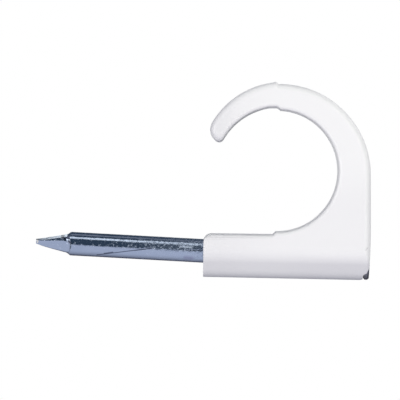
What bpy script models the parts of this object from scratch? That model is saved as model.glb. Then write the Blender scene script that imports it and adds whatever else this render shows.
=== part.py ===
"""Nail-in cable clip: a moulded hook with a sleeve, and the steel nail held in the sleeve.

Metres, +Z up. The origin is where the bore's axis crosses the foot plane, which lies against the wall.
+X points away from the wall, the cable runs along Y, and the hook stands above the sleeve.
"""

from math import acos, asin, atan2, cos, pi, radians, sin, sqrt, tan

import bmesh
import bpy
from mathutils import Matrix, Vector

MM = 0.001

# Cable eye and the hook round it
EYE_RADIUS = 6.34 * MM
EYE_WALL_GAP = 1.345 * MM
EYE_DRAFT = radians(1.2)
LIMB_THICKNESS = 3.495 * MM
CROWN_THICKNESS = 2.80 * MM
BACK_RADIUS_OVER_EYE = 3.27 * MM
BACK_LEAN = radians(0.9)
HOOK_WALL = 1.88 * MM
HOOK_TAPER = 0.80 * MM
TIP_RADIUS = 1.45 * MM
TIP_DIRECTION = radians(150)
TIP_FLAT_RADIUS = 8.0 * MM
TIP_FLAT_DIRECTION = radians(221)
NOSE_RADIUS = 0.54 * MM

# The mould parts across the hook. Its wall side stands a little proud, with a low flash on the crown.
# Short ramps lead from it to the other side, and inside the hook's top the ramp follows a flat
PARTING_OFFSET = 0.24 * MM
HOOK_RELIEF = 0.53 * MM
HOOK_SHIFT_X = 0.285 * MM
HOOK_SHIFT_Z = -0.17 * MM
HOOK_OUTSIDE_SHIFT_X = 0.34 * MM
SADDLE_STEP = 0.32 * MM
CROWN_RAMP = 0.20 * MM
HOOK_FLAT_START = -0.64 * MM
HOOK_FLAT_END = 0.16 * MM
EYE_START = 0.50 * MM
SADDLE_RAMP = 0.16 * MM
FLASH_HEIGHT = 0.05 * MM

# Sleeve and edges
BODY_WIDTH = 6.20 * MM
SADDLE_HEIGHT = 2.21 * MM
SLEEVE_DROP = 2.51 * MM
FOOT_RISE = 0.09 * MM
FOOT_CORNER_RADIUS = 0.84 * MM
END_CORNER_RADIUS = 1.05 * MM
END_BOW_RADIUS = 60 * MM
END_BOW_TOP = 3.2 * MM
OUTER_FILLET = 0.75 * MM
INNER_FILLET = 0.40 * MM
SHARPEST_CORNER = 0.05 * MM

# Nail, which leans and lies a little low in its bore
NAIL_LENGTH = 35.25 * MM
NAIL_DIAMETER = 2.50 * MM
NAIL_LEAN = radians(2.3)
NAIL_SAG = 0.02 * MM
HEAD_DIAMETER = 4.20 * MM
HEAD_THICKNESS = 0.60 * MM
HEAD_CHAMFER = 0.10 * MM
HEAD_RECESS = 0.045 * MM
POINT_TIP_WIDTH = 0.40 * MM
POINT_MIDDLE = 3.00 * MM
POINT_MIDDLE_WIDTH = 1.62 * MM
POINT_LENGTH = 3.87 * MM
POINT_TIP_DOME = 0.12 * MM
POINT_RIDGE_TURN = radians(28)

# Fits
BORE_CLEARANCE = 0.12 * MM
POCKET_CLEARANCE = 0.22 * MM
SEAT_GAP = 0.15 * MM

# Steps along each round
CORNER_STEPS = 6
BOW_STEPS = 4
BACK_STEPS = 22
HOOK_STEPS = 14
TIP_STEPS = 12
NOSE_STEPS = 8
EYE_STEPS = 44
FILLET_STEPS = 6
MIDDLE_STEPS = 5
TURNED_STEPS = 48

HALF_WIDTH = BODY_WIDTH / 2
EYE_CENTRE = Vector((EYE_WALL_GAP + EYE_RADIUS, SADDLE_HEIGHT + SADDLE_STEP + EYE_RADIUS))
PARTING_X = EYE_CENTRE.x - PARTING_OFFSET
BACK_RADIUS = EYE_RADIUS + BACK_RADIUS_OVER_EYE
CROWN_TOP = EYE_CENTRE.y + EYE_RADIUS + CROWN_THICKNESS
BACK_CENTRE = Vector((EYE_CENTRE.x + EYE_RADIUS + LIMB_THICKNESS - BACK_RADIUS, CROWN_TOP - BACK_RADIUS))
BACK_WAY = Vector((cos(BACK_LEAN), sin(BACK_LEAN)))
BACK_REACH = BACK_CENTRE.dot(BACK_WAY) + BACK_RADIUS
BODY_DEPTH = (BACK_REACH - END_BOW_TOP * sin(BACK_LEAN)) / cos(BACK_LEAN)
BOW_CENTRE = Vector((BODY_DEPTH, END_BOW_TOP)) - END_BOW_RADIUS * BACK_WAY
HOOK_RADIUS = EYE_RADIUS + HOOK_RELIEF
HOOK_CENTRE = EYE_CENTRE + Vector((HOOK_SHIFT_X, HOOK_SHIFT_Z))
OUTSIDE_RADIUS = HOOK_RADIUS + HOOK_WALL
OUTSIDE_CENTRE = HOOK_CENTRE + Vector((HOOK_OUTSIDE_SHIFT_X, HOOK_TAPER))
TIP_WAY = Vector((cos(TIP_DIRECTION), sin(TIP_DIRECTION)))
TIP_CENTRE = OUTSIDE_CENTRE + (OUTSIDE_RADIUS - TIP_RADIUS) * TIP_WAY
TIP_FLAT_WAY = Vector((cos(TIP_FLAT_DIRECTION), sin(TIP_FLAT_DIRECTION)))
TIP_FLAT_CENTRE = TIP_CENTRE - (TIP_FLAT_RADIUS - TIP_RADIUS) * TIP_FLAT_WAY

NAIL_RADIUS = NAIL_DIAMETER / 2
HEAD_RADIUS = HEAD_DIAMETER / 2
BORE_LENGTH = BODY_DEPTH - HEAD_RECESS - HEAD_THICKNESS - SEAT_GAP
BORE_RADIUS = NAIL_RADIUS + BORE_LENGTH / 2 * tan(NAIL_LEAN) + BORE_CLEARANCE

# Heights along the nail, from the middle of the bore
HEAD_FACE = (BODY_DEPTH - HEAD_RECESS - BORE_LENGTH / 2) / cos(NAIL_LEAN)
HEAD_UNDERSIDE = HEAD_FACE - HEAD_THICKNESS
POINT_TIP = HEAD_FACE - NAIL_LENGTH

# How far the cutters run past what they cut
BORE_OVERRUN = 3 * MM
DIE_OVERRUN = 0.5 * MM


def clear_scene():
    for old in list(bpy.data.objects):
        bpy.data.objects.remove(old)


def new_collection(name):
    collection = bpy.data.collections.new(name)
    bpy.context.scene.collection.children.link(collection)
    return collection


def new_material(name, colour, roughness, metallic):
    material = bpy.data.materials.new(name)
    material.use_nodes = True
    shader = material.node_tree.nodes["Principled BSDF"]
    shader.inputs["Base Color"].default_value = (*colour, 1)
    shader.inputs["Roughness"].default_value = roughness
    shader.inputs["Metallic"].default_value = metallic
    return material


def new_object(name, mesh, collection):
    obj = bpy.data.objects.new(name, mesh)
    collection.objects.link(obj)
    return obj


def mesh_from(name, shape):
    """Mesh data from a bmesh, with its faces turned outwards."""
    bmesh.ops.recalc_face_normals(shape, faces=shape.faces)
    mesh = bpy.data.meshes.new(name)
    shape.to_mesh(mesh)
    shape.free()
    return mesh


def arc(centre, radius, start, end, steps):
    """Points along a circular arc, evenly from angle start to angle end."""
    turns = [start + (end - start) * step / steps for step in range(steps + 1)]
    return [centre + radius * Vector((cos(turn), sin(turn))) for turn in turns]


def corner(x, z, radius, start):
    """A quarter round in the square corner at x, z, from the angle start on."""
    radius = max(radius, SHARPEST_CORNER)
    to_corner = sqrt(2) * radius * Vector((cos(start + pi / 4), sin(start + pi / 4)))
    return arc(Vector((x, z)) - to_corner, radius, start, start + pi / 2, CORNER_STEPS)


def heading(way):
    """Angle of a direction in the side view, from 0 to a full turn."""
    return atan2(way.y, way.x) % (2 * pi)


def meeting_point(centre_a, radius_a, centre_b, radius_b):
    """Where circles round a and b cross, on the right-hand side of the way from a to b."""
    way = centre_b - centre_a
    along = (radius_a**2 - radius_b**2 + way.length_squared) / (2 * way.length)
    across = sqrt(max(radius_a**2 - along**2, 0))
    unit = way.normalized()
    return centre_a + along * unit + across * Vector((unit.y, -unit.x))


def top_turn(centre, radius, past=0):
    """Angle at which a circle crosses the parting plane at its top, or a plane this far past it."""
    return acos((PARTING_X + past - centre.x) / radius)


def outline(outer_inset, inner_inset, eye_growth, underside):
    """The clip's side view as (x, z) points, going round with the material on the left.

    The insets draw the outside and the inside edges into the material, eye_growth is what the
    draft adds to the eye's radius, and underside is the height of the sleeve's underside at its end.
    """
    bow = END_BOW_RADIUS - outer_inset
    end_corner = max(END_CORNER_RADIUS - outer_inset, SHARPEST_CORNER)
    end_turn = asin((underside + end_corner - BOW_CENTRE.y) / (bow - end_corner))
    end_centre = BOW_CENTRE + (bow - end_corner) * Vector((cos(end_turn), sin(end_turn)))
    saddle = SADDLE_HEIGHT - inner_inset
    back = BACK_RADIUS - outer_inset
    outside = OUTSIDE_RADIUS - outer_inset
    tip = TIP_RADIUS - outer_inset
    tip_flat = TIP_FLAT_RADIUS - outer_inset
    inside = HOOK_RADIUS + inner_inset
    eye = EYE_RADIUS + eye_growth + inner_inset
    nose = max(NOSE_RADIUS - min(outer_inset, inner_inset), SHARPEST_CORNER)
    nose_centre = meeting_point(TIP_FLAT_CENTRE, tip_flat - nose, HOOK_CENTRE, inside + nose)
    flat_end = heading(nose_centre - TIP_FLAT_CENTRE)
    nose_end = heading(HOOK_CENTRE - nose_centre)
    inside_start = heading(nose_centre - HOOK_CENTRE)
    back_end = top_turn(BACK_CENTRE, back, CROWN_RAMP)
    inside_end = top_turn(HOOK_CENTRE, inside, HOOK_FLAT_START)
    eye_start = top_turn(EYE_CENTRE, eye, EYE_START)
    eye_end = -top_turn(EYE_CENTRE, eye, SADDLE_RAMP)

    points = [Vector((0, underside + FOOT_RISE))]
    points += arc(end_centre, end_corner, -pi / 2, end_turn, CORNER_STEPS)
    points += arc(BOW_CENTRE, bow, end_turn, BACK_LEAN, BOW_STEPS)[1:]
    points += arc(BACK_CENTRE, back, BACK_LEAN, back_end, BACK_STEPS)
    hook = arc(OUTSIDE_CENTRE, outside, top_turn(OUTSIDE_CENTRE, outside), TIP_DIRECTION, HOOK_STEPS)
    points += [hook[0] + Vector((0, FLASH_HEIGHT))] + hook[1:]
    points += arc(TIP_CENTRE, tip, TIP_DIRECTION, TIP_FLAT_DIRECTION, TIP_STEPS)[1:]
    points += arc(nose_centre, nose, flat_end, nose_end, NOSE_STEPS)
    points += arc(HOOK_CENTRE, inside, inside_start, inside_end, HOOK_STEPS)[1:]
    points += [Vector((PARTING_X + HOOK_FLAT_END, points[-1].y))]
    points += arc(EYE_CENTRE, eye, eye_start, eye_end, EYE_STEPS)
    points += [Vector((PARTING_X - SADDLE_RAMP, saddle))]
    points += corner(0, saddle, FOOT_CORNER_RADIUS - inner_inset, 0.5 * pi)
    return points


def fillet_inset(radius, y):
    """How far a fillet of this radius draws an edge in, at the distance y from the middle plane."""
    past = max(abs(y) - (HALF_WIDTH - radius), 0)
    return radius - sqrt(max(radius**2 - past**2, 0))


def stations():
    """Places across the width: even over the flat middle, then closer round the outer fillet."""
    flat = HALF_WIDTH - OUTER_FILLET
    turns = [pi / 2 * step / FILLET_STEPS for step in range(FILLET_STEPS + 1)]
    half = [flat * step / MIDDLE_STEPS for step in range(MIDDLE_STEPS)]
    half += [flat + OUTER_FILLET * sin(turn) for turn in turns]
    return [-y for y in reversed(half[1:])] + half


def section(y):
    """The outline at one place across the width: filleted, drafted, and half round underneath."""
    underside = HALF_WIDTH - SLEEVE_DROP - sqrt(max(HALF_WIDTH**2 - y**2, 0))
    eye_growth = (HALF_WIDTH - y) * tan(EYE_DRAFT)
    points = outline(fillet_inset(OUTER_FILLET, y), fillet_inset(INNER_FILLET, y), eye_growth, underside)
    return [(point.x, y, point.y) for point in points]


def loft(name, sections):
    """Mesh data of a closed solid through sections that have as many points each."""
    shape = bmesh.new()
    rings = [[shape.verts.new(point) for point in points] for points in sections]
    for ring, following in zip(rings, rings[1:]):
        for index in range(len(ring)):
            shape.faces.new((ring[index - 1], ring[index], following[index], following[index - 1]))
    shape.faces.new(rings[0])
    shape.faces.new(reversed(rings[-1]))
    return mesh_from(name, shape)


def lofted_body():
    mesh = loft("clip_body", [section(y) for y in stations()])
    mesh.shade_smooth()
    mesh.set_sharp_from_angle(angle=radians(30))
    return mesh


def cutter(name, mesh, collection):
    obj = new_object(name, mesh, collection)
    obj.hide_render = True
    obj.display_type = "WIRE"
    return obj


def rod(name, radius, bottom, top):
    """A cylinder along Z between two heights."""
    shape = bmesh.new()
    middle = Matrix.Translation((0, 0, (bottom + top) / 2))
    bmesh.ops.create_cone(
        shape, cap_ends=True, segments=TURNED_STEPS, radius1=radius, radius2=radius,
        depth=top - bottom, matrix=middle,
    )
    return mesh_from(name, shape)


def square(width, height):
    """Corners of a square across the nail, turned as the ridges of the nail's point are."""
    turns = [pi / 2 - POINT_RIDGE_TURN + quarter * pi / 2 for quarter in range(4)]
    return [(width / sqrt(2) * cos(turn), width / sqrt(2) * sin(turn), height) for turn in turns]


def point_die():
    """A long square spike whose four sides leave the point's flats, which steepen towards the shank."""
    tip_slope = (POINT_MIDDLE_WIDTH - POINT_TIP_WIDTH) / POINT_MIDDLE
    shank_slope = (NAIL_DIAMETER - POINT_MIDDLE_WIDTH) / (POINT_LENGTH - POINT_MIDDLE)
    top = HEAD_FACE + DIE_OVERRUN
    middle = POINT_TIP + POINT_MIDDLE
    return loft("point_die", [
        square(POINT_TIP_WIDTH - DIE_OVERRUN * tip_slope, POINT_TIP - DIE_OVERRUN),
        square(POINT_MIDDLE_WIDTH, middle),
        square(POINT_MIDDLE_WIDTH + (top - middle) * shank_slope, top),
    ])


def cut(obj, tool, operation):
    boolean = obj.modifiers.new(tool.name, "BOOLEAN")
    boolean.operation = operation
    boolean.object = tool
    boolean.solver = "EXACT"


def lay_along_nail(obj):
    """Turn an object made along Z to lie along the leaning nail, from about the middle of the bore."""
    obj.location = (BORE_LENGTH / 2, 0, -NAIL_SAG)
    obj.rotation_euler = (0, pi / 2 + NAIL_LEAN, 0)


def make_clip_body(parts, cutters, material):
    body = new_object("clip_body", lofted_body(), parts)
    body.data.materials.append(material)
    bore = cutter("bore", rod("bore", BORE_RADIUS, -BORE_OVERRUN, BODY_DEPTH + BORE_OVERRUN), cutters)
    bore.rotation_euler = (0, pi / 2, 0)
    seat = HEAD_UNDERSIDE - SEAT_GAP
    pocket_radius = HEAD_RADIUS + POCKET_CLEARANCE
    pocket = cutter("head_pocket", rod("head_pocket", pocket_radius, seat, HEAD_FACE + BORE_OVERRUN), cutters)
    lay_along_nail(pocket)
    cut(body, bore, "DIFFERENCE")
    cut(body, pocket, "DIFFERENCE")


def nail_profile():
    """Half of the nail's lengthwise section, from the middle of the head's face down to the tip."""
    return [
        (0, HEAD_FACE),
        (HEAD_RADIUS - HEAD_CHAMFER, HEAD_FACE),
        (HEAD_RADIUS, HEAD_FACE - HEAD_CHAMFER),
        (HEAD_RADIUS, HEAD_UNDERSIDE + HEAD_CHAMFER),
        (HEAD_RADIUS - HEAD_CHAMFER, HEAD_UNDERSIDE),
        (NAIL_RADIUS, HEAD_UNDERSIDE),
        (NAIL_RADIUS, POINT_TIP + POINT_TIP_DOME),
        (0, POINT_TIP),
    ]


def make_nail(parts, cutters, material):
    profile = nail_profile()
    mesh = bpy.data.meshes.new("nail")
    edges = [(index, index + 1) for index in range(len(profile) - 1)]
    mesh.from_pydata([(radius, 0, height) for radius, height in profile], edges, [])
    nail = new_object("nail", mesh, parts)
    mesh.materials.append(material)
    lay_along_nail(nail)
    turned = nail.modifiers.new("turned", "SCREW")
    turned.axis = "Z"
    turned.steps = TURNED_STEPS
    turned.render_steps = TURNED_STEPS
    turned.use_merge_vertices = True
    turned.merge_threshold = 0.000001
    turned.use_smooth_shade = True
    die = cutter("point_die", point_die(), cutters)
    lay_along_nail(die)
    cut(nail, die, "INTERSECT")


def main():
    clear_scene()
    parts = new_collection("nail_in_cable_clip")
    cutters = new_collection("cutters")
    plastic = new_material("white_plastic", (0.90, 0.90, 0.91), 0.42, 0.0)
    steel = new_material("zinc_plated_steel", (0.55, 0.60, 0.68), 0.28, 1.0)
    make_clip_body(parts, cutters, plastic)
    make_nail(parts, cutters, steel)


main()
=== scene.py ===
"""Looks of the nail-in cable clip: a white moulded hook with its sleeve, and the zinc-plated nail in the sleeve.

Lengths are in millimetres until a mesh is made. A point of the side view is the complex number x + iz.
"""

from math import cos, pi, radians, sin, sqrt, tan

import bpy
import numpy as np
from mathutils import Matrix, Vector


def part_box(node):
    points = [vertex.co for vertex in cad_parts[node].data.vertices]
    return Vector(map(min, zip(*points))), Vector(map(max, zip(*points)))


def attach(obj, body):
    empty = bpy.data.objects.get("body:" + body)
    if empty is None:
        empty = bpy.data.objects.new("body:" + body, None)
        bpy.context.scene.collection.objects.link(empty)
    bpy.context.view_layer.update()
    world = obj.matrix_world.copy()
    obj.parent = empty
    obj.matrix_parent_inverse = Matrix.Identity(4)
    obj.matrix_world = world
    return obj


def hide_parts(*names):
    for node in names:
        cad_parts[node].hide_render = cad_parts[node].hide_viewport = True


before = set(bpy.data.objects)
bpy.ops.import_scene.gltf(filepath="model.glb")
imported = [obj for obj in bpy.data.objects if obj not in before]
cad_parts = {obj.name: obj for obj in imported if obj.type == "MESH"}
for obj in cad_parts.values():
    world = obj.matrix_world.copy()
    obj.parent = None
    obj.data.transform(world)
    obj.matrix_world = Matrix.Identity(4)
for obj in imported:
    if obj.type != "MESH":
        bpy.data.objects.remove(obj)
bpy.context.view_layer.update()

MM = 0.001
body_low, body_high = (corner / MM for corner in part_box("clip_body"))

# The moulding's width and its lowest line, from the frame
HALF_WIDTH = body_high.y
SLEEVE_DROP = -body_low.z

# Cable eye and the hook round it
EYE_RADIUS = 6.34
EYE_WALL_GAP = 1.345
EYE_DRAFT = radians(1.2)
LIMB_THICKNESS = 3.495
CROWN_THICKNESS = 2.80
BACK_RADIUS_OVER_EYE = 3.27
BACK_LEAN = radians(0.9)
HOOK_WALL = 1.88
HOOK_TAPER = 0.80
TIP_RADIUS = 1.45
TIP_DIRECTION = radians(150)
TIP_FLAT_RADIUS = 8.0
TIP_FLAT_DIRECTION = radians(221)
NOSE_RADIUS = 0.54

# The parting across the hook, its flash, the ramps from its wall side to the other side, and the flat
# inside the hook's top, as distances past the parting plane
PARTING_OFFSET = 0.24
HOOK_RELIEF = 0.53
HOOK_SHIFT = 0.285 - 0.17j
HOOK_OUTSIDE_SHIFT = 0.34
SADDLE_STEP = 0.32
CROWN_RAMP = 0.20
HOOK_FLAT_START = -0.64
HOOK_FLAT_END = 0.16
EYE_START = 0.50
SADDLE_RAMP = 0.16
FLASH_HEIGHT = 0.06
FLASH_SETBACK = 0.13
FLASH_WIDTH = 0.09

# Sleeve and edges
SADDLE_HEIGHT = 2.21
SLEEVE_SIDE_RADIUS = 2.40
SLEEVE_BOTTOM_RADIUS = 2.30
SLEEVE_SLOPE = radians(43)
FOOT_RISE = 0.09
FOOT_CORNER_RADIUS = 0.84
END_CORNER_RADIUS = 1.05
END_CORNER_AT_SIDES = 0.32
END_BOW_RADIUS = 60
END_BOW_TOP = 3.2
OUTER_FILLET = 0.75
INNER_FILLET = 0.40
FOOT_EDGE_RADIUS = 0.08
SHARPEST_CORNER = 0.05

# Nail, which leans and lies a little low in its bore
NAIL_LENGTH = 35.245
NAIL_RADIUS = 1.25
NAIL_LEAN = radians(2.3)
NAIL_SAG = 0.02
HEAD_RADIUS = 2.10
HEAD_THICKNESS = 0.60
HEAD_CHAMFER = 0.16
HEAD_RECESS = 0.045
HEAD_CENTRE_SHARE = 0.3
POINT_TIP_WIDTH = 0.40
POINT_LENGTH = 4.2
POINT_SLOPE = 0.205
POINT_FLARE = 0.9
POINT_FLARE_START = 3.18
POINT_TIP_DOME = 0.12
POINT_RIDGE_TURN = radians(31.5)
POINT_TWIST = radians(8)
POINT_LIFT = 0.06
POINT_LIFT_LENGTH = 1.2
RIDGE_ROUND_AT_TIP = 0.2
RIDGE_ROUND_AT_SHANK = 0.55
BORE_CLEARANCE = 0.12
POCKET_CLEARANCE = 0.08
SEAT_GAP = 0.15
HEAD_GAP = 0.04
MOUTH_ROUND = 0.12

EYE_CENTRE = EYE_WALL_GAP + EYE_RADIUS + 1j * (SADDLE_HEIGHT + SADDLE_STEP + EYE_RADIUS)
PARTING_X = EYE_CENTRE.real - PARTING_OFFSET
BACK_RADIUS = EYE_RADIUS + BACK_RADIUS_OVER_EYE
CROWN_TOP = EYE_CENTRE.imag + EYE_RADIUS + CROWN_THICKNESS
BACK_CENTRE = EYE_CENTRE.real + EYE_RADIUS + LIMB_THICKNESS - BACK_RADIUS + 1j * (CROWN_TOP - BACK_RADIUS)
BACK_REACH = BACK_CENTRE.real * cos(BACK_LEAN) + BACK_CENTRE.imag * sin(BACK_LEAN) + BACK_RADIUS
BODY_DEPTH = (BACK_REACH - END_BOW_TOP * sin(BACK_LEAN)) / cos(BACK_LEAN)
BOW_CENTRE = BODY_DEPTH + 1j * END_BOW_TOP - END_BOW_RADIUS * np.exp(1j * BACK_LEAN)
HOOK_RADIUS = EYE_RADIUS + HOOK_RELIEF
HOOK_CENTRE = EYE_CENTRE + HOOK_SHIFT
OUTSIDE_RADIUS = HOOK_RADIUS + HOOK_WALL
OUTSIDE_CENTRE = HOOK_CENTRE + HOOK_OUTSIDE_SHIFT + 1j * HOOK_TAPER
TIP_CENTRE = OUTSIDE_CENTRE + (OUTSIDE_RADIUS - TIP_RADIUS) * np.exp(1j * TIP_DIRECTION)
TIP_FLAT_CENTRE = TIP_CENTRE - (TIP_FLAT_RADIUS - TIP_RADIUS) * np.exp(1j * TIP_FLAT_DIRECTION)

BORE_LENGTH = BODY_DEPTH - HEAD_RECESS - HEAD_THICKNESS - SEAT_GAP
BORE_RADIUS = NAIL_RADIUS + BORE_LENGTH / 2 * tan(NAIL_LEAN) + BORE_CLEARANCE
HEAD_FACE = (BODY_DEPTH - HEAD_RECESS - BORE_LENGTH / 2) / cos(NAIL_LEAN)
HEAD_UNDERSIDE = HEAD_FACE - HEAD_THICKNESS
POINT_TIP = HEAD_FACE - NAIL_LENGTH

# Edges turned more than this stay sharp
MOULDING_SHARP_ANGLE = radians(30)
NAIL_SHARP_ANGLE = radians(20)

# Steps of the fine surfaces, and the corners from which a face is a flat side
FLAT_STEPS = 20
FILLET_STEPS = 14
CORNER_STEPS = 10
BOW_STEPS = 12
BACK_STEPS = 110
OUTSIDE_STEPS = 120
TIP_STEPS = 48
NOSE_STEPS = 18
INSIDE_STEPS = 80
EYE_STEPS = 170
SADDLE_STEPS = 24
SLEEVE_STEPS = 40
SECTION_STEPS = 60
TURNED_STEPS = 256
SIDE_CORNERS = 300
POINT_STEPS = 170
SHANK_STEPS = 60

# Colours of the plastic and of the zinc
# Painted light and shade: the plastic is lighter by the crown and darker by the foot.
PLASTIC_SHADED_BY_FOOT = (0.836, 0.830, 0.850, 1)
PLASTIC_LIT_BY_CROWN = (0.925, 0.922, 0.928, 1)
# Painted shade on the lower half of the sleeve.
PLASTIC_SHADED_BELOW = (0.760, 0.750, 0.785, 1)
# Painted shade by the hook's tip.
PLASTIC_SHADED_BY_TIP = (0.770, 0.765, 0.790, 1)
# Painted shade for the creases, the nick and the hook's inner edge.
PLASTIC_PAINTED_SHADE = (0.45, 0.45, 0.46, 1)
PLASTIC_BUMP = 0.02
ZINC_DARK = (0.46, 0.54, 0.66, 1)
ZINC_LIGHT = (0.54, 0.61, 0.73, 1)
ZINC_STAIN = (0.28, 0.26, 0.40, 1)
# A painted dark reflection on the rim of the nail's head.
ZINC_HEAD_RIM_REFLECTION = (0.26, 0.26, 0.28, 1)
# Dark colour of the scratches, and painted shade along the edges of the point's pressed flat.
ZINC_SCRATCHED_AND_SHADED = (0.06, 0.075, 0.12, 1)
ZINC_END_FACE = (0.80, 0.78, 0.70, 1)
ZINC_BUMP = 0.02
WHITE = (1, 1, 1, 1)

# Marks seen from the front: where each starts and ends, and the width over which it fades
# The creases and the nick are dents in the bump, darkened with painted shade.
CREASE = (0.3 + 1.79j, 8 + 1.80j, 0.11)
SHORT_CREASE = (0.4 + 1.56j, 3.4 + 1.58j, 0.10)
NICK = (17.12 + 0.64j, 17.28 + 0.88j, 0.09)
SCRATCH = (-11.21 - 0.28j, -5.42 + 0.54j, 0.08)
GOUGE = (-10.45 - 0.13j, -9.55 + 0.02j, 0.13)
LINE_BY_SLEEVE = (-1.95 + 0.41j, 0.1 + 0.38j, 0.08)
RUBBED_PATCH = (-2.45 + 0.74j, -1.25 + 0.68j, 0.17)
STAIN = (-1.9 - 0.42j, -1.2 - 0.46j, 0.35)
# Painted shade: dark lines along the edge and corner of the point's pressed flat.
PRESSED_EDGE = (-14.88 + 1.53j, -13.97 + 0.94j, 0.20)
PRESSED_CORNER = (-14.88 + 1.53j, -14.78 + 1.90j, 0.20)
END_FACE = (-17.5 + 1.22j, -17.5 + 0.98j, 0.17)

# Where the masks of the materials rise from 0 to 1, along X or Z unless another measure is named
CREASE_FADE = (3, 8)
SHORT_CREASE_FADE = (1.5, 3.4)
# Painted shade along the hook's inner edge.
HOOK_EDGE_SHADE_FROM_RADIUS = (0.04, 0.22)
HOOK_EDGE_SHADE_FADE_X = (4.8, 7.0)
HOOK_EDGE_SHADE_RISE_Z = (7, 9)
# Painted light: the plastic lightens along X and up in Z.
PAINTED_LIGHT_X = (0, 9)
PAINTED_LIGHT_Z = (4.5, 11)
# Painted shade on the sleeve's lower half, growing towards its back end.
SHADE_BELOW_X = (1, 16)
SHADE_BELOW_DEPTH = (-0.3, 0.9)
# Painted shade near the hook's tip.
TIP_SHADE_FADE_X = (0.5, 4.5)
TIP_SHADE_RISE_Z = (8, 11)
PRESSED_FADE_X = (-15, -13.8)
PRESSED_ABOVE_AXIS = (0.1, 0.35)
WORN_X = (-12, -2)
# Painted dark reflection on the rim of the nail's head.
HEAD_RIM_REFLECTION_X = (15, 16.5)
HEAD_RIM_REFLECTION_FROM_AXIS = (1.5, 1.95)
SPECK_PITS = (0.05, 0.45)

# View, as the photograph has it
VIEW_WIDTH = 42.2
VIEW_DISTANCE = 1200
VIEW_CENTRE = -0.43 + 5.68j
VIEW_ROLL = radians(0.85)
SENSOR_WIDTH = 36

# Studio: each panel is a colour, then the turns and the sides, in degrees, that it lies between
FLOOR_HEIGHT = -26
FLOOR_RADIUS = 150
FLOOR_CORNERS = 96
FLOOR_FADE = (30, 85)
FLOOR_GLOW = 0.55
FLOOR_COLOUR = (0.76, 0.76, 0.80, 1)
# Reflections see the floor as a glowing sheet of painted reflection, with a dark card of painted shade behind the
# part.
FLOOR_PAINTED_REFLECTION = (0.60, 0.62, 0.73, 1)
SHADE_CARD_EXTENT = (-14, 34)
SHADE_CARD_COLOUR = (0.08, 0.08, 0.11, 1)
BACKDROP_EXTENT = (0.96, 0.985)
PANEL_EDGE = 3
ROOM_COLOUR = (0.042, 0.066, 0.100)
PANELS = [
    ((6.85, 6.82, 6.45), -16, 12, -57, -33),
    ((2.98, 2.84, 2.88), 12, 45, -57, -33),
    ((3.58, 3.58, 3.34), -16, 12, 17, 45),
    ((2.44, 2.37, 2.27), 12, 45, 17, 45),
    ((1.56, 1.52, 1.37), -16, 45, -95, -57),
    ((1.10, 1.11, 0.94), -16, 45, 45, 95),
    ((0.20, 0.20, 0.15), 45, 90, 17, 95),
    ((0.15, 0.12, 0.14), 90, 150, -95, -17),
    ((1.40, 1.36, 1.36), 90, 150, 17, 95),
    ((0.61, 0.56, 0.62), -50, -16, -95, 95),
    ((0.45, 0.41, 0.45), -80, -50, -95, 95),
    ((0.07, 0.07, 0.07), -115, -80, -95, 95),
    ((0.07, 0.08, 0.06), -177, -115, -95, 95),
    ((1.15, 1.15, 1.15), 53, 70, -17, 17),
    ((0.24, 0.23, 0.24), 94, 110, -4, 17),
    ((1.30, 1.30, 1.26), 143, 172, -8, -2),
]


def mesh_piece(name, points, faces):
    """A piece of the object from points in millimetres, an (n, 3) array, and its faces."""
    mesh = bpy.data.meshes.new(name)
    mesh.from_pydata(points * MM, [], faces)
    mesh.validate()
    piece = bpy.data.objects.new(name, mesh)
    bpy.context.scene.collection.objects.link(piece)
    return piece


def grid_faces(rows, columns):
    """The quads of a grid whose last column joins its first."""
    index = np.arange(rows * columns).reshape(rows, columns)
    after = np.roll(index, -1, axis=1)
    quads = np.stack([index[:-1], after[:-1], after[1:], index[1:]], axis=-1)
    return quads.reshape(-1, 4).tolist()


def arc(centre, radius, start, end, steps):
    """Points centre + radius e^(i turn), as the turn goes evenly from start to end."""
    turn = start + (end - start) * np.linspace(0, 1, steps + 1)
    return centre + radius * np.exp(1j * turn)


def line(start, end, steps):
    """Points evenly along a straight line, both ends included."""
    return start + (end - start) * np.linspace(0, 1, steps + 1)


def corner(point, radius, start, steps):
    """A quarter round in the square corner at a point, from the angle start on."""
    radius = np.maximum(radius, SHARPEST_CORNER)
    centre = point - sqrt(2) * radius * np.exp(1j * (start + pi / 4))
    return arc(centre, radius, start, start + pi / 2, steps)


def heading(way):
    """Angle of a direction in the side view, from 0 to a full turn."""
    return np.angle(way) % (2 * pi)


def meeting_point(centre_a, radius_a, centre_b, radius_b):
    """Where circles round a and b cross, on the right-hand side of the way from a to b."""
    way = centre_b - centre_a
    along = (radius_a**2 - radius_b**2 + np.abs(way) ** 2) / (2 * np.abs(way))
    across = np.sqrt(np.maximum(radius_a**2 - along**2, 0))
    return centre_a + (along - 1j * across) * way / np.abs(way)


def top_turn(centre, radius, past=0):
    """Angle at which a circle crosses the parting plane at its top, or a plane this far past it."""
    return np.arccos((PARTING_X + past - centre.real) / radius)


def with_flash(points):
    """The hook's outside with a low bell of flash on it, beside the parting plane."""
    past = (PARTING_X - FLASH_SETBACK - points.real) / FLASH_WIDTH
    return points + 1j * FLASH_HEIGHT * np.exp(-(past**2))


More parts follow.
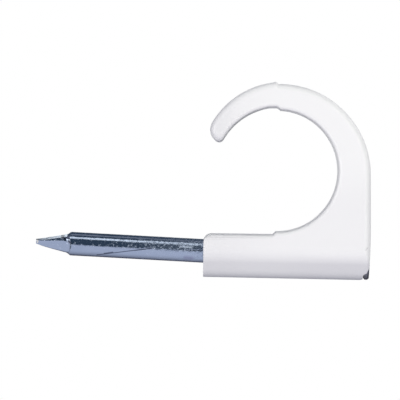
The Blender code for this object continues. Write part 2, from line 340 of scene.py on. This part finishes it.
def side_view(outer_inset, inner_inset, foot_inset, draft, underside):
    """The moulding's outline at each station, a row each, with the material on the left.

    It is a chain of arcs, tangent but at the parting plane, where the two halves of the mould leave
    a step. The insets draw the outside, the inside and the foot into the material, as the draft
    does with the whole inside, and underside is the height of the sleeve's lowest line.
    """
    bow = END_BOW_RADIUS - outer_inset
    rise = underside + SLEEVE_DROP
    end_corner = np.maximum(END_CORNER_RADIUS - rise, END_CORNER_AT_SIDES) - outer_inset
    end_corner = np.maximum(end_corner, SHARPEST_CORNER)
    end_turn = np.arcsin((underside + end_corner - BOW_CENTRE.imag) / (bow - end_corner))
    end_centre = BOW_CENTRE + (bow - end_corner) * np.exp(1j * end_turn)
    saddle = SADDLE_HEIGHT - inner_inset - draft
    back = BACK_RADIUS - outer_inset
    outside = OUTSIDE_RADIUS - outer_inset
    tip = TIP_RADIUS - outer_inset
    tip_flat = TIP_FLAT_RADIUS - outer_inset
    inside = HOOK_RADIUS + inner_inset + draft
    eye = EYE_RADIUS + inner_inset + draft
    nose = np.maximum(NOSE_RADIUS - np.minimum(outer_inset, inner_inset), SHARPEST_CORNER)
    nose_centre = meeting_point(TIP_FLAT_CENTRE, tip_flat - nose, HOOK_CENTRE, inside + nose)
    flat_end = heading(nose_centre - TIP_FLAT_CENTRE)
    nose_end = heading(HOOK_CENTRE - nose_centre)
    inside_start = heading(nose_centre - HOOK_CENTRE)
    back_end = top_turn(BACK_CENTRE, back, CROWN_RAMP)
    inside_end = top_turn(HOOK_CENTRE, inside, HOOK_FLAT_START)
    eye_start = top_turn(EYE_CENTRE, eye, EYE_START)
    eye_end = -top_turn(EYE_CENTRE, eye, SADDLE_RAMP)

    foot_low = corner(foot_inset + 1j * (underside + FOOT_RISE), FOOT_EDGE_RADIUS, pi, CORNER_STEPS // 2)
    end_low = arc(end_centre, end_corner, -pi / 2, end_turn, CORNER_STEPS)
    bow_arc = arc(BOW_CENTRE, bow, end_turn, BACK_LEAN, BOW_STEPS)
    back_arc = arc(BACK_CENTRE, back, BACK_LEAN, back_end, BACK_STEPS)
    outside_arc = arc(OUTSIDE_CENTRE, outside, top_turn(OUTSIDE_CENTRE, outside), TIP_DIRECTION, OUTSIDE_STEPS)
    tip_arc = arc(TIP_CENTRE, tip, TIP_DIRECTION, TIP_FLAT_DIRECTION, TIP_STEPS)
    flat_arc = arc(TIP_FLAT_CENTRE, tip_flat, TIP_FLAT_DIRECTION, flat_end, NOSE_STEPS)
    nose_arc = arc(nose_centre, nose, flat_end, nose_end, NOSE_STEPS)
    inside_arc = arc(HOOK_CENTRE, inside, inside_start, inside_end, INSIDE_STEPS)
    hook_flat_end = PARTING_X + HOOK_FLAT_END + 1j * inside_arc[:, -1:].imag
    eye_arc = arc(EYE_CENTRE, eye, eye_start, eye_end, EYE_STEPS)
    foot_high = corner(foot_inset + 1j * saddle, FOOT_CORNER_RADIUS - inner_inset, 0.5 * pi, CORNER_STEPS)
    return np.hstack([
        foot_low,
        line(foot_low[:, -1:], end_low[:, :1], SLEEVE_STEPS)[:, 1:-1],
        end_low,
        bow_arc[:, 1:],
        line(bow_arc[:, -1:], back_arc[:, :1], SADDLE_STEPS)[:, 1:-1],
        back_arc,
        with_flash(outside_arc),
        tip_arc[:, 1:],
        flat_arc[:, 1:],
        nose_arc[:, 1:],
        inside_arc[:, 1:],
        hook_flat_end,
        eye_arc,
        line(PARTING_X - SADDLE_RAMP + 1j * saddle, foot_high[:, :1], SADDLE_STEPS)[:, :-1],
        foot_high,
    ])


def fillet_inset(radius, y):
    """How far a fillet of this radius draws an edge in, at the distance y from the middle plane."""
    past = np.maximum(np.abs(y) - (HALF_WIDTH - radius), 0)
    return radius - np.sqrt(np.maximum(radius**2 - past**2, 0))


def stations():
    """Places across the width: even over the flat middle, then closer round the outer fillet."""
    flat = HALF_WIDTH - OUTER_FILLET
    middle = flat * np.linspace(-1, 1, FLAT_STEPS + 1)[1:-1]
    edge = flat + OUTER_FILLET * np.sin(np.linspace(0, pi / 2, FILLET_STEPS + 1))
    return np.concatenate([-edge[::-1], middle, edge])


def sleeve_underside(y):
    """Height of the sleeve's lowest line: two arcs from the side down to the middle, and a flat between them."""
    bottom_centre = HALF_WIDTH + 1j * (SLEEVE_BOTTOM_RADIUS - SLEEVE_DROP)
    bottom = arc(bottom_centre, SLEEVE_BOTTOM_RADIUS, pi + SLEEVE_SLOPE, 1.5 * pi, SECTION_STEPS)
    below_side = SLEEVE_SIDE_RADIUS * (1 - np.exp(1j * SLEEVE_SLOPE))
    flat = (bottom[0].real - below_side.real) / sin(SLEEVE_SLOPE)
    side_height = bottom[0].imag + flat * cos(SLEEVE_SLOPE) - below_side.imag
    side = arc(SLEEVE_SIDE_RADIUS + 1j * side_height, SLEEVE_SIDE_RADIUS, pi, pi + SLEEVE_SLOPE, SECTION_STEPS)
    section = np.concatenate([side, bottom])
    return np.interp(HALF_WIDTH - np.abs(y), section.real, section.imag)


def moulding_surface():
    """A loft: the side view at every station across the width, with its two flat sides closed."""
    y = stations()[:, None]
    points = side_view(
        fillet_inset(OUTER_FILLET, y),
        fillet_inset(INNER_FILLET, y),
        fillet_inset(FOOT_EDGE_RADIUS, y),
        (HALF_WIDTH - y) * tan(EYE_DRAFT),
        sleeve_underside(y),
    )
    rows, columns = points.shape
    places = np.stack([points.real, np.broadcast_to(y, points.shape), points.imag], axis=-1)
    near_side = list(range(columns))
    far_side = list(range((rows - 1) * columns, rows * columns))[::-1]
    faces = [quad[::-1] for quad in grid_faces(rows, columns)] + [near_side, far_side]
    return places.reshape(-1, 3), faces


def turned_surface(heights, radii):
    """A surface of revolution: radius r at height h becomes (r cos a, r sin a, h), closed at both ends."""
    angle = np.linspace(0, 2 * pi, TURNED_STEPS, endpoint=False)
    radius = np.broadcast_to(np.asarray(radii, float).reshape(len(heights), -1), (len(heights), TURNED_STEPS))
    height = np.broadcast_to(np.asarray(heights, float)[:, None], radius.shape)
    points = np.stack([radius * np.cos(angle), radius * np.sin(angle), height], axis=-1).reshape(-1, 3)
    ends = [list(range(TURNED_STEPS))[::-1], list(range(len(points) - TURNED_STEPS, len(points)))]
    return points, grid_faces(len(heights), TURNED_STEPS) + ends


def along_nail(points):
    """Points made about the Z axis, laid along the leaning nail, from the middle of the bore."""
    down = np.array([-sin(NAIL_LEAN), 0, -cos(NAIL_LEAN)])
    out = np.array([cos(NAIL_LEAN), 0, -sin(NAIL_LEAN)])
    across = np.array([0, 1, 0])
    start = np.array([BORE_LENGTH / 2, 0, -NAIL_SAG])
    return start + points[:, :1] * down + points[:, 1:2] * across + points[:, 2:] * out


def cut_away(piece, name, points, faces):
    """Takes the closed form out of the piece, for good."""
    tool = mesh_piece(name, points, faces)
    boolean = piece.modifiers.new(name, "BOOLEAN")
    boolean.object = tool
    bpy.context.view_layer.update()
    result = bpy.data.meshes.new_from_object(piece.evaluated_get(bpy.context.evaluated_depsgraph_get()))
    piece.modifiers.clear()
    piece.data = result
    bpy.data.objects.remove(tool)


def bore_surface():
    """A rod along X through the sleeve, whose mouth at the foot flares by a quarter round."""
    turn = np.linspace(0, pi / 2, CORNER_STEPS + 1)
    heights = np.concatenate([[-HALF_WIDTH, 0], MOUTH_ROUND * (1 - np.cos(turn))[1:], [BODY_DEPTH]])
    radii = np.concatenate([[1, 1], 1 - np.sin(turn)[1:], [0]]) * MOUTH_ROUND + BORE_RADIUS
    points, faces = turned_surface(heights, radii)
    return points[:, [2, 0, 1]], faces


def pocket_surface():
    """A short rod along the nail, for the head, from its seat out through the end of the sleeve."""
    heights = [HEAD_UNDERSIDE - HEAD_GAP, HEAD_FACE + HALF_WIDTH]
    points, faces = turned_surface(heights, [HEAD_RADIUS + POCKET_CLEARANCE] * 2)
    return along_nail(points), faces


def make_moulding():
    """The white moulding, with its bore and the pocket for the nail's head cut out."""
    piece = mesh_piece("moulded_clip", *moulding_surface())
    cut_away(piece, "bore", *bore_surface())
    cut_away(piece, "head_pocket", *pocket_surface())
    piece.data.shade_smooth()
    piece.data.set_sharp_from_angle(angle=MOULDING_SHARP_ANGLE)
    for side in piece.data.polygons:
        side.use_smooth = len(side.vertices) < SIDE_CORNERS
    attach(piece, "root")
    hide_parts("clip_body")
    return piece


def nail_surface():
    """The nail's profile turned about its axis, and pressed flat on four sides at the point.

    At the distance d from the tip the flats lie at f(d) = w/2 + slope d + flare max(d - start, 0)^2 from
    the axis, where w is the tip's width, and the ridges between them are rounded with the radius e f. In
    the direction a from the nearest flat's middle the flat reaches f / cos(a), and past its end, where
    f tan(a) = f - e f, the round reaches c cos(b) + sqrt((e f)^2 - (c sin(b))^2), with b = 45 deg - a and
    c = sqrt(2) (f - e f). The radius is the smaller of that and the profile's. The ridges wind by the
    twist from the shank to the tip, and the tip is lifted off the axis by lift (1 - d / lift length)^2.
    """
    dome = np.linspace(0, pi / 2, CORNER_STEPS + 1)
    tip = POINT_TIP + POINT_TIP_DOME * (1 - np.cos(dome))
    tip_radii = NAIL_RADIUS * np.sin(dome)
    shoulder = POINT_TIP + POINT_LENGTH
    point = np.linspace(tip[-1], shoulder, POINT_STEPS)[1:]
    shank = np.linspace(shoulder, HEAD_UNDERSIDE, SHANK_STEPS)[1:]
    head_low, head_high = HEAD_UNDERSIDE + HEAD_CHAMFER, HEAD_FACE - HEAD_CHAMFER
    head = np.array([HEAD_UNDERSIDE, head_low, head_high, HEAD_FACE, HEAD_FACE])
    head_radii = HEAD_RADIUS - np.array([HEAD_CHAMFER, 0, 0, HEAD_CHAMFER, HEAD_RADIUS * (1 - HEAD_CENTRE_SHARE)])
    heights = np.concatenate([tip, point, shank, head])[:, None]
    shank_radii = np.full(len(point) + len(shank), NAIL_RADIUS)
    radii = np.concatenate([tip_radii, shank_radii, head_radii])[:, None]
    along = heights - POINT_TIP
    near_tip = np.clip(1 - along / POINT_LENGTH, 0, 1)
    angle = np.linspace(0, 2 * pi, TURNED_STEPS, endpoint=False)
    from_flat = np.abs((angle + POINT_RIDGE_TURN - POINT_TWIST * near_tip) % (pi / 2) - pi / 4)
    flare = POINT_FLARE * np.maximum(along - POINT_FLARE_START, 0) ** 2
    flats = POINT_TIP_WIDTH / 2 + POINT_SLOPE * along + flare
    ridge = flats * (RIDGE_ROUND_AT_SHANK + (RIDGE_ROUND_AT_TIP - RIDGE_ROUND_AT_SHANK) * near_tip)
    to_centre = sqrt(2) * (flats - ridge)
    from_ridge = pi / 4 - from_flat
    across = np.minimum(to_centre * np.sin(from_ridge), ridge)
    rounded = to_centre * np.cos(from_ridge) + np.sqrt(ridge**2 - across**2)
    reach = np.where(flats * np.tan(from_flat) < flats - ridge, flats / np.cos(from_flat), rounded)
    points, faces = turned_surface(heights[:, 0], np.minimum(radii, reach))
    points[:, 0] -= POINT_LIFT * np.clip(1 - (points[:, 2] - POINT_TIP) / POINT_LIFT_LENGTH, 0, 1) ** 2
    return points, faces


def make_nail():
    """The nail, laid in its bore."""
    points, faces = nail_surface()
    piece = mesh_piece("zinc_plated_nail", along_nail(points), faces)
    piece.data.shade_smooth()
    piece.data.set_sharp_from_angle(angle=NAIL_SHARP_ANGLE)
    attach(piece, "root")
    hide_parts("nail")
    return piece


# Outputs of nodes, by number
OBJECT_COORDINATES = 3
GENERATED_COORDINATES = 0
CAMERA_RAY, GLOSSY_RAY, TRANSMISSION_RAY = 0, 3, 6
MIXED_COLOUR = 2


class Value:
    """A socket of a shader's nodes, whose arithmetic adds Math nodes."""

    def __init__(self, graph, socket):
        self.graph = graph
        self.socket = socket

    def math(self, operation, *operands):
        return self.graph.math(operation, self, *operands)

    def __add__(self, other):
        return self.math("ADD", other)

    def __radd__(self, other):
        return self.graph.math("ADD", other, self)

    def __sub__(self, other):
        return self.math("SUBTRACT", other)

    def __rsub__(self, other):
        return self.graph.math("SUBTRACT", other, self)

    def __mul__(self, other):
        return self.math("MULTIPLY", other)

    def __rmul__(self, other):
        return self.graph.math("MULTIPLY", other, self)

    def __truediv__(self, other):
        return self.math("DIVIDE", other)

    def __pow__(self, other):
        return self.math("POWER", other)


class Graph:
    """The nodes of one material or of the world, cleared to start with."""

    def __init__(self, owner):
        owner.use_nodes = True
        self.tree = owner.node_tree
        self.tree.nodes.clear()

    def node(self, kind, settings=None, inputs=None, output=0):
        """Adds a node: its settings, a ramp's stops, then the values or links of its sockets."""
        node = self.tree.nodes.new("ShaderNode" + kind)
        for name, value in (settings or {}).items():
            if name == "stops":
                for stop, (place, colour) in zip(node.color_ramp.elements, value):
                    stop.position = place
                    stop.color = (*colour, 1)
            else:
                setattr(node, name, value)
        for name, value in (inputs or {}).items():
            if isinstance(value, Value):
                self.tree.links.new(value.socket, node.inputs[name])
            else:
                node.inputs[name].default_value = value
        return Value(self, node.outputs[output]) if node.outputs else None

    def math(self, operation, *operands):
        return self.node("Math", {"operation": operation}, dict(enumerate(operands)))

    def vector(self, operation, *operands, output=0):
        return self.node("VectorMath", {"operation": operation}, dict(enumerate(operands)), output)

    def split(self, vector):
        """The three parts of a vector."""
        return [self.node("SeparateXYZ", None, {0: vector}, part) for part in range(3)]

    def smooth(self, value, low, high):
        """0 below low and 1 above high, with a smooth rise between them."""
        limits = {"Value": value, "From Min": low, "From Max": high}
        return self.node("MapRange", {"interpolation_type": "SMOOTHSTEP"}, limits)

    def mix(self, factor, start, end):
        """Colour that goes from start to end as the factor goes from 0 to 1."""
        return self.node("Mix", {"data_type": "RGBA"}, {0: factor, 6: start, 7: end}, MIXED_COLOUR)

    def grey(self, value):
        """The value as all three parts of a vector or colour."""
        return self.node("CombineXYZ", None, {0: value, 1: value, 2: value})

    def noise(self, place, scale, detail=2.0, roughness=0.5):
        """Noise from about -1 to 1, with this many periods in a unit of the place."""
        inputs = {"Vector": place, "Scale": scale, "Detail": detail, "Roughness": roughness}
        return self.node("TexNoise", None, inputs) * 2 - 1

    def stretched(self, vector, amounts):
        """The place with each of its parts times its own amount."""
        return self.vector("MULTIPLY", vector, amounts)


def object_place(graph):
    """The place on the object, in millimetres."""
    return graph.vector("MULTIPLY", graph.node("TexCoord", output=OBJECT_COORDINATES), (1 / MM,) * 3)


def stroke(graph, place, start, end, width):
    """A mask that is 1 on a straight stroke seen from the front, from start to end, and fades over its width."""
    x, _, z = graph.split(place)
    way = (end - start) / abs(end - start)
    along = (x - start.real) * way.real + (z - start.imag) * way.imag
    across = (z - start.imag) * way.real - (x - start.real) * way.imag
    past_end = (along - abs(end - start)).math("MAXIMUM", along * -1).math("MAXIMUM", 0)
    distance = (across**2 + past_end**2).math("SQRT")
    return 1 - graph.smooth(distance, 0, width)


def finish_material(graph, settings, bump_height, bump_distance):
    """Ends a material in a Principled shader with a bump; the height is in units of the distance, in mm."""
    bump = graph.node("Bump", None, {"Height": bump_height, "Distance": bump_distance * MM, "Strength": 1.0})
    shader = graph.node("BsdfPrincipled", None, {**settings, "Normal": bump})
    graph.node("OutputMaterial", None, {"Surface": shader})


def white_plastic():
    """White moulded plastic with faint creases and a nick, lighter by the crown as painted light, and darkened by
    painted shade by the foot, below the sleeve, by the tip, in the creases and nick and along the hook's inner
    edge.
    """
    material = bpy.data.materials.new("white_plastic")
    graph = Graph(material)
    place = object_place(graph)
    x, _, z = graph.split(place)
    waves = graph.noise(place, 0.22, 2.0)
    grain = graph.noise(place, 9.0, 3.0, 0.6)
    crease = stroke(graph, place, *CREASE) * (1 - graph.smooth(x, *CREASE_FADE))
    short_crease = stroke(graph, place, *SHORT_CREASE) * (1 - graph.smooth(x, *SHORT_CREASE_FADE))
    creases = crease + short_crease * 0.5
    nick = stroke(graph, place, *NICK)
    # Painted shade: a dark line along the inner edge of the hook.
    from_centre = ((x - HOOK_CENTRE.real) ** 2 + (z - HOOK_CENTRE.imag) ** 2).math("SQRT")
    hook_edge_shade = 1 - graph.smooth((from_centre - HOOK_RADIUS).math("ABSOLUTE"), *HOOK_EDGE_SHADE_FROM_RADIUS)
    hook_edge_shade = hook_edge_shade * (1 - graph.smooth(x, *HOOK_EDGE_SHADE_FADE_X)) * graph.smooth(z, *HOOK_EDGE_SHADE_RISE_Z)
    # Painted light and shade: lighter to the right and at the top, with a random tone from the waves.
    painted_light_and_tone = graph.smooth(x, *PAINTED_LIGHT_X) * 0.5 + graph.smooth(z, *PAINTED_LIGHT_Z) * 0.5 + waves * 0.05
    shaded_base = graph.mix(painted_light_and_tone, PLASTIC_SHADED_BY_FOOT, PLASTIC_LIT_BY_CROWN)
    # Painted shade: the lower half of the sleeve darkens towards its back end.
    below = graph.smooth(x, *SHADE_BELOW_X) * graph.smooth(z * -1, *SHADE_BELOW_DEPTH)
    shaded_base = graph.mix(below * 0.45, shaded_base, PLASTIC_SHADED_BELOW)
    # Painted shade: the plastic darkens near the hook's tip.
    tip_shade = (1 - graph.smooth(x, *TIP_SHADE_FADE_X)) * graph.smooth(z, *TIP_SHADE_RISE_Z)
    shaded_base = graph.mix(tip_shade * 0.6, shaded_base, PLASTIC_SHADED_BY_TIP)
    # Painted shade darkens the creases, the nick and the hook's inner edge.
    colour = graph.mix(creases * 0.30 + nick * 0.4 + hook_edge_shade * 0.8, shaded_base, PLASTIC_PAINTED_SHADE)
    roughness = 0.42 + waves * 0.03 + grain * 0.03
    height = waves * 0.5 + grain * 0.012 - creases * 0.6 - nick * 1.5
    settings = {"Base Color": colour, "Roughness": roughness, "IOR": 1.49}
    finish_material(graph, settings, height, PLASTIC_BUMP)
    return material


def zinc_plate():
    """Bluish zinc plate, mottled and pitted, worn towards the sleeve, with the scratch and other scratched lines of
    the photo, painted shade along the edges of the point's pressed flat and a painted dark reflection on the head's
    rim.
    """
    material = bpy.data.materials.new("zinc_plate")
    graph = Graph(material)
    place = object_place(graph)
    x, y, z = graph.split(place)
    mottle = graph.noise(graph.stretched(place, (0.55, 1, 1)), 1.5, 3.0, 0.6)
    pits = graph.noise(graph.stretched(place, (0.7, 1, 1)), 6.0, 2.0, 0.6)
    lines = graph.noise(graph.stretched(place, (0.12, 1, 1)), 7.0, 3.0, 0.6)
    streaks = graph.noise(graph.stretched(place, (0.35, 1, 1)), 4.5, 2.0, 0.6)
    above_axis = (x - BORE_LENGTH / 2) * tan(NAIL_LEAN) + z + NAIL_SAG
    pressed = (1 - graph.smooth(x, *PRESSED_FADE_X)) * graph.smooth(above_axis, *PRESSED_ABOVE_AXIS)
    worn = graph.smooth(x + mottle * 1.5, *WORN_X)
    scratch = stroke(graph, place, *SCRATCH)
    gouge = stroke(graph, place, *GOUGE)
    line_by_sleeve = stroke(graph, place, *LINE_BY_SLEEVE)
    rubbed = stroke(graph, place, *RUBBED_PATCH)
    stain = stroke(graph, place, *STAIN)
    pressed_edge = stroke(graph, place, *PRESSED_EDGE)
    pressed_corner = stroke(graph, place, *PRESSED_CORNER)
    end_face = stroke(graph, place, *END_FACE)
    # The scratch, the gouge and the line by the sleeve are marks in the zinc; the pressed edge and corner are
    # painted shade.
    scratches_and_shade_lines = scratch.math("MAXIMUM", gouge).math("MAXIMUM", line_by_sleeve * 0.8)
    scratches_and_shade_lines = scratches_and_shade_lines.math("MAXIMUM", pressed_edge).math("MAXIMUM", pressed_corner)
    colour = graph.mix(mottle * 0.5 + 0.5, ZINC_DARK, ZINC_LIGHT)
    colour = graph.mix(stain * 0.45, colour, ZINC_STAIN)
    # Painted dark reflection on the rim of the nail's head.
    from_axis = (y**2 + above_axis**2).math("SQRT")
    head_rim_reflection = graph.smooth(x, *HEAD_RIM_REFLECTION_X) * graph.smooth(from_axis, *HEAD_RIM_REFLECTION_FROM_AXIS)
    colour = graph.mix(head_rim_reflection, colour, ZINC_HEAD_RIM_REFLECTION)
    colour = graph.mix(scratches_and_shade_lines * 0.9, colour, ZINC_SCRATCHED_AND_SHADED)
    colour = graph.mix(end_face, colour, ZINC_END_FACE)
    specks = graph.smooth(pits, *SPECK_PITS)
    roughness = 0.10 + worn * 0.12 + mottle * 0.03 + lines * 0.02
    roughness = roughness + rubbed * 0.25 + specks * 0.25 + end_face * 0.4
    height = mottle * 0.5 + lines * 0.2 + pits * (0.08 + worn * 0.55)
    height = height + streaks * pressed * 0.8 - scratches_and_shade_lines * 0.8
    settings = {"Base Color": colour, "Roughness": roughness, "Metallic": 1.0}
    finish_material(graph, settings, height, ZINC_BUMP)
    return material


def shown_rays(graph):
    """Two values: 1 for the rays of the camera, and 1 for those of reflections and of glass."""
    kinds = (CAMERA_RAY, GLOSSY_RAY, TRANSMISSION_RAY)
    camera, glossy, transmission = (graph.node("LightPath", output=kind) for kind in kinds)
    return camera, glossy.math("MAXIMUM", transmission)


def floor_material():
    """Pale floor that shows the part's shadow and fades into the white backdrop.

    Reflections see instead a glowing sheet of painted reflection, which turns into a dark card of painted shade
    away from the camera.
    """
    material = bpy.data.materials.new("floor")
    material.cycles.emission_sampling = "NONE"
    graph = Graph(material)
    camera, mirrored = shown_rays(graph)
    x, y, _ = graph.split(object_place(graph))
    distance = (x**2 + y**2).math("SQRT")
    pale = graph.node("BsdfDiffuse", None, {"Color": FLOOR_COLOUR})
    white = graph.node("Emission", None, {"Color": WHITE, "Strength": 1.0})
    glow = (graph.smooth(distance, *FLOOR_FADE) * (1 - FLOOR_GLOW) + FLOOR_GLOW) * camera
    shown = graph.node("MixShader", None, {0: glow, 1: pale, 2: white})
    # Painted reflection of the floor, turning into a dark card of painted shade away from the camera.
    painted_sheet_colour = graph.mix(graph.smooth(y, *SHADE_CARD_EXTENT), FLOOR_PAINTED_REFLECTION, SHADE_CARD_COLOUR)
    sheet = graph.node("Emission", None, {"Color": painted_sheet_colour, "Strength": 1.0})
    shader = graph.node("MixShader", None, {0: mirrored, 1: shown, 2: sheet})
    graph.node("OutputMaterial", None, {"Surface": shader})
    return material


def make_floor():
    """A round floor well below the part, which throws no light or shadow on it."""
    turn = np.linspace(0, 2 * pi, FLOOR_CORNERS + 1)[:-1]
    height = np.full(FLOOR_CORNERS, FLOOR_HEIGHT)
    points = np.stack([FLOOR_RADIUS * np.cos(turn), FLOOR_RADIUS * np.sin(turn), height], axis=-1)
    floor = mesh_piece("floor", points, [list(range(len(points)))])
    floor.data.materials.append(floor_material())
    floor.visible_diffuse = False
    floor.visible_shadow = False


def panel(graph, turn, side, low_turn, high_turn, low_side, high_side):
    """A soft-edged panel of the sky: 1 inside and 0 outside.

    The turn about the X axis goes from -180 to 180 degrees, with 0 towards the camera and 90 straight up,
    and the side goes from -90 at -X to 90 at +X.
    """
    inside = graph.smooth(turn, low_turn - PANEL_EDGE, low_turn + PANEL_EDGE)
    inside = inside * (1 - graph.smooth(turn, high_turn - PANEL_EDGE, high_turn + PANEL_EDGE))
    inside = inside * graph.smooth(side, low_side - PANEL_EDGE, low_side + PANEL_EDGE)
    return inside * (1 - graph.smooth(side, high_side - PANEL_EDGE, high_side + PANEL_EDGE))


def make_world():
    """A white backdrop for the camera, and for all else a tent of soft panels round the part.

    Reflections see the backdrop too, but only straight behind the part.
    """
    world = bpy.data.worlds.new("studio")
    bpy.context.scene.world = world
    graph = Graph(world)
    x, y, z = graph.split(graph.node("TexCoord", output=GENERATED_COORDINATES))
    turn = z.math("ARCTAN2", y * -1).math("DEGREES")
    side = x.math("ARCSINE").math("DEGREES")
    light = graph.vector("MULTIPLY", ROOM_COLOUR, (1, 1, 1))
    for colour, *extent in PANELS:
        light = graph.vector("MULTIPLY_ADD", graph.grey(panel(graph, turn, side, *extent)), colour, light)
    camera, mirrored = shown_rays(graph)
    behind = graph.smooth(y, *BACKDROP_EXTENT) * mirrored
    colour = graph.mix(camera.math("MAXIMUM", behind), light, WHITE)
    background = graph.node("Background", None, {"Color": colour, "Strength": 1.0})
    graph.node("OutputWorld", None, {"Surface": background})


def make_camera():
    """A camera straight in front of the clip, along +Y, rolled as the photograph is."""
    lens = bpy.data.cameras.new("camera")
    lens.sensor_width = SENSOR_WIDTH
    lens.lens = SENSOR_WIDTH * VIEW_DISTANCE / VIEW_WIDTH
    camera = bpy.data.objects.new("camera", lens)
    right = Vector((cos(VIEW_ROLL), 0, sin(VIEW_ROLL)))
    up = Vector((-sin(VIEW_ROLL), 0, cos(VIEW_ROLL)))
    back = Vector((0, -1, 0))
    place = Matrix((right, up, back)).transposed().to_4x4()
    place.translation = Vector((VIEW_CENTRE.real, -VIEW_DISTANCE, VIEW_CENTRE.imag)) * MM
    camera.matrix_world = place
    bpy.context.scene.collection.objects.link(camera)
    bpy.context.scene.camera = camera


moulding = make_moulding()
moulding.data.materials.append(white_plastic())
nail = make_nail()
nail.data.materials.append(zinc_plate())
make_floor()
make_world()
make_camera()
bpy.context.scene.view_settings.view_transform = "Standard"
